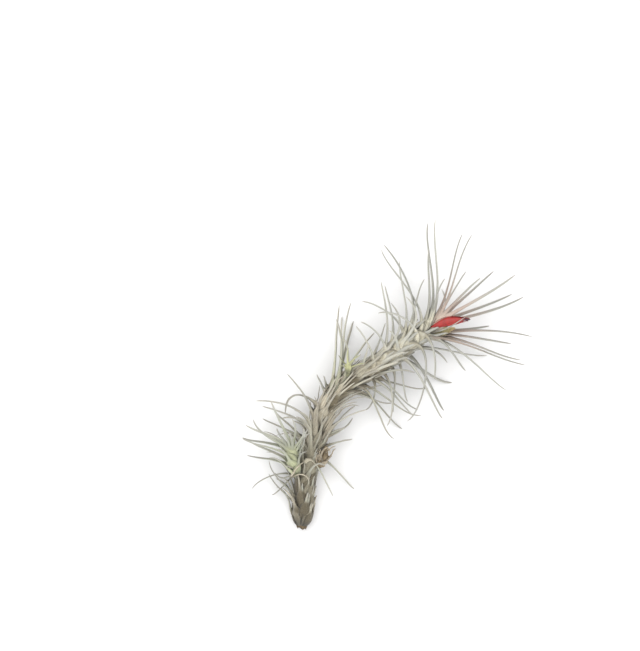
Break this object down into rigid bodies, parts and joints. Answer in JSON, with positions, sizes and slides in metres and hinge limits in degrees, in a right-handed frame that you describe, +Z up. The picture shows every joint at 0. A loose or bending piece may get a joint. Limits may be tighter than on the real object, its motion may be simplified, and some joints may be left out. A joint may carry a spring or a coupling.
{
  "type": "tillandsia funckiana air plant in flower",
  "caption": "Curved leafy air-plant shoot with fine awl-shaped leaves, green offsets and a red tubular flower, lying down.",
  "frame": {"origin": "middle of the plant's box, on the surface that it lies on", "axes": "+Y from the foot of the shoot towards its crown, +X towards the side that the crown leans to, +Z up from the surface"},
  "size_m": [0.1016, 0.1088, 0.0248],
  "materials": {
    "leafy_stem": "matte",
    "base_offset": "matte",
    "side_offset": "matte",
    "flower": "satin",
    "flower_bract": "matte",
    "dry_stub": "matte"
  },
  "bodies": {
    "root": {"leafy_stem": "leafy_stem", "base_offset": "base_offset", "side_offset": "side_offset", "flower": "flower", "flower_bract": "flower_bract", "dry_stub": "dry_stub"}
  },
  "joints": []
}
